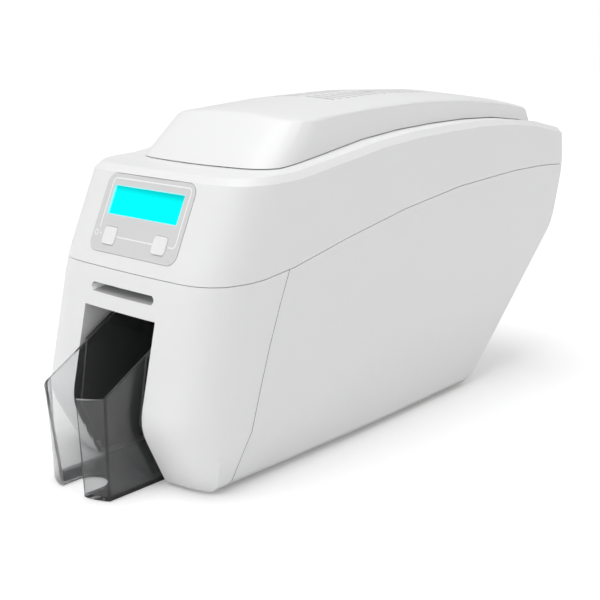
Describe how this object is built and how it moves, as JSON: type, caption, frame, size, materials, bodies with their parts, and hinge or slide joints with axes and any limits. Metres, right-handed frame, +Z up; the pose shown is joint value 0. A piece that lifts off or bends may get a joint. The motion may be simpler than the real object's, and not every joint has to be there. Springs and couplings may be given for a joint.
{
  "type": "plastic card printer",
  "caption": "Desktop printer for plastic cards: white casing with hinged lid, backlit display and buttons, card slot, and a clear card tray that slides out with its hopper.",
  "frame": {"origin": "middle of the footprint's bounding box, on the surface the feet rest on", "axes": "+Z up, -Y towards the front with the tray, display and buttons, +X towards the printer's own left, seen on the right from the front"},
  "size_m": [0.176, 0.4834, 0.2507],
  "materials": {
    "casing_white": "fine satin moulded plastic",
    "lid_white": "fine satin moulded plastic",
    "panel_grey": "smooth satin with a printed line frame",
    "display_cyan": "backlit display window",
    "button_white": "smooth",
    "clear_smoky": "polished clear, slightly smoky",
    "hopper_black": "fine grained",
    "lift_grey": "smooth",
    "base_dark": "grained",
    "foot_rubber": "matte",
    "frame_steel": "zinc plated sheet",
    "rod_steel": "ground",
    "screw_steel": "blackened",
    "bush_plastic": "smooth acetal",
    "roller_rubber": "ground rubber on a steel shaft",
    "clean_roller": "tacky sleeve",
    "belt_rubber": "toothed inside",
    "gear_white": "acetal",
    "motor_metal": "black stack with bright end caps",
    "ribbon_film": "thin dyed film",
    "spool_plastic": "smooth core with wound film",
    "cassette_plastic": "smooth",
    "head_ceramic": "glazed strip in a dark holder",
    "sink_aluminium": "extruded",
    "board_green": "solder mask with parts",
    "socket_black": "smooth",
    "socket_shell": "tinned",
    "fan_black": "smooth"
  },
  "bodies": {
    "casing": {"upper_cover": "casing_white", "front_fascia": "casing_white", "side_panel_right": "casing_white", "side_panel_left": "casing_white", "rear_panel": "casing_white", "display_bezel": "panel_grey", "lcd_window": "display_cyan", "control_board": "board_green", "base_chassis": "base_dark", "rubber_feet": "foot_rubber", "side_frame_left": "frame_steel", "side_frame_right": "frame_steel", "cross_ties": "rod_steel", "roller_bushes": "bush_plastic", "frame_screws": "screw_steel", "base_screws": "screw_steel", "drive_belt": "belt_rubber", "drive_motor": "motor_metal", "card_guide": "hopper_black", "ribbon_cassette": "cassette_plastic", "takeup_motor": "motor_metal", "ribbon_film": "ribbon_film", "lid_hinge_pins": "rod_steel", "main_board": "board_green", "board_standoffs": "rod_steel", "interface_board": "board_green", "power_inlet": "socket_black", "usb_socket": "socket_shell", "network_socket": "socket_shell", "switch_housing": "socket_black", "cooling_fan": "fan_black"},
    "lid": {"lid_hood": "lid_white", "print_head": "head_ceramic", "head_heatsink": "sink_aluminium", "head_bracket": "frame_steel"},
    "card_unit": {"card_tray": "clear_smoky", "card_hopper": "hopper_black"},
    "lift_plate": {"hopper_lift_plate": "lift_grey"},
    "left_button": {"button_left": "button_white"},
    "right_button": {"button_right": "button_white"},
    "feed": {"feed_roller": "roller_rubber"},
    "transport": {"transport_roller": "roller_rubber"},
    "platen": {"platen_roller": "roller_rubber", "platen_gear": "gear_white"},
    "exit": {"exit_roller": "roller_rubber"},
    "pinch_front": {"pinch_roller_front": "roller_rubber"},
    "pinch_rear": {"pinch_roller_rear": "roller_rubber"},
    "cleaning": {"cleaning_roller": "clean_roller"},
    "pick": {"pick_roller": "roller_rubber"},
    "drive_pinion": {"motor_pinion": "gear_white"},
    "supply": {"supply_spool": "spool_plastic"},
    "takeup": {"takeup_spool": "spool_plastic"},
    "ribbon_pinion": {"takeup_pinion": "gear_white"},
    "flap": {"card_flap": "hopper_black"},
    "rotor": {"fan_rotor": "fan_black"},
    "rocker": {"power_switch": "socket_black"}
  },
  "joints": [
    {"name": "lid_hinge", "type": "hinge", "parent": "casing", "child": "lid", "pos_m": [0, 0.22252, 0.217], "axis": [-1, 0, 0], "range_deg": [0, 70]},
    {"name": "card_unit_slide", "type": "slide", "parent": "casing", "child": "card_unit", "axis": [0, -1, 0], "range_m": [0, 0.14]},
    {"name": "lift_plate_slide", "type": "slide", "parent": "card_unit", "child": "lift_plate", "axis": [0, 0, -1], "range_m": [0, 0.076], "stiffness_N_per_m": 12, "springref_m": -0.04},
    {"name": "left_button_press", "type": "slide", "parent": "casing", "child": "left_button", "axis": [0, 0.9098, -0.4151], "range_m": [0, 0.0005], "stiffness_N_per_m": 800, "springref_m": -0.001},
    {"name": "right_button_press", "type": "slide", "parent": "casing", "child": "right_button", "axis": [0, 0.9098, -0.4151], "range_m": [0, 0.0005], "stiffness_N_per_m": 800, "springref_m": -0.001},
    {"name": "platen_spin", "type": "hinge", "parent": "casing", "child": "platen", "pos_m": [0, 0.00552, 0.1202], "axis": [1, 0, 0], "continuous": true},
    {"name": "feed_spin", "type": "hinge", "parent": "casing", "child": "feed", "pos_m": [0, -0.12948, 0.1202], "axis": [1, 0, 0], "continuous": true},
    {"name": "transport_spin", "type": "hinge", "parent": "casing", "child": "transport", "pos_m": [0, -0.03948, 0.1202], "axis": [1, 0, 0], "continuous": true},
    {"name": "exit_spin", "type": "hinge", "parent": "casing", "child": "exit", "pos_m": [0, 0.07052, 0.1202], "axis": [1, 0, 0], "continuous": true},
    {"name": "pinch_front_spin", "type": "hinge", "parent": "casing", "child": "pinch_front", "pos_m": [0, -0.03948, 0.135], "axis": [1, 0, 0], "continuous": true},
    {"name": "pinch_rear_spin", "type": "hinge", "parent": "casing", "child": "pinch_rear", "pos_m": [0, 0.07052, 0.135], "axis": [1, 0, 0], "continuous": true},
    {"name": "cleaning_spin", "type": "hinge", "parent": "casing", "child": "cleaning", "pos_m": [0, -0.12948, 0.137], "axis": [1, 0, 0], "continuous": true},
    {"name": "pick_spin", "type": "hinge", "parent": "casing", "child": "pick", "pos_m": [0, -0.06269, 0.1104], "axis": [1, 0, 0], "continuous": true},
    {"name": "drive_pinion_spin", "type": "hinge", "parent": "casing", "child": "drive_pinion", "pos_m": [0, 0.00552, 0.0902], "axis": [1, 0, 0], "continuous": true},
    {"name": "supply_spin", "type": "hinge", "parent": "casing", "child": "supply", "pos_m": [0, 0.07052, 0.186], "axis": [1, 0, 0], "continuous": true},
    {"name": "takeup_spin", "type": "hinge", "parent": "casing", "child": "takeup", "pos_m": [0, -0.06948, 0.186], "axis": [1, 0, 0], "continuous": true},
    {"name": "ribbon_pinion_spin", "type": "hinge", "parent": "casing", "child": "ribbon_pinion", "pos_m": [0, -0.0822, 0.17327], "axis": [1, 0, 0], "continuous": true},
    {"name": "flap_swing", "type": "hinge", "parent": "casing", "child": "flap", "pos_m": [0, -0.14148, 0.124], "axis": [1, 0, 0], "range_deg": [0, 35]},
    {"name": "rotor_spin", "type": "hinge", "parent": "casing", "child": "rotor", "pos_m": [-0.026, 0.1796, 0.08199], "axis": [0, 0.7685, -0.6399], "continuous": true},
    {"name": "rocker_tilt", "type": "hinge", "parent": "casing", "child": "rocker", "pos_m": [0.034, 0.18344, 0.07879], "axis": [1, 0, 0], "range_deg": [-7, 7]}
  ],
  "couplings": [
    {"joint": "feed_spin", "follows": "platen_spin", "ratio": 1},
    {"joint": "transport_spin", "follows": "platen_spin", "ratio": 1},
    {"joint": "exit_spin", "follows": "platen_spin", "ratio": 1},
    {"joint": "pinch_front_spin", "follows": "platen_spin", "ratio": -1.3333},
    {"joint": "pinch_rear_spin", "follows": "platen_spin", "ratio": -1.3333},
    {"joint": "cleaning_spin", "follows": "platen_spin", "ratio": -1},
    {"joint": "pick_spin", "follows": "platen_spin", "ratio": -1},
    {"joint": "drive_pinion_spin", "follows": "platen_spin", "ratio": -4},
    {"joint": "ribbon_pinion_spin", "follows": "takeup_spin", "ratio": -2}
  ]
}
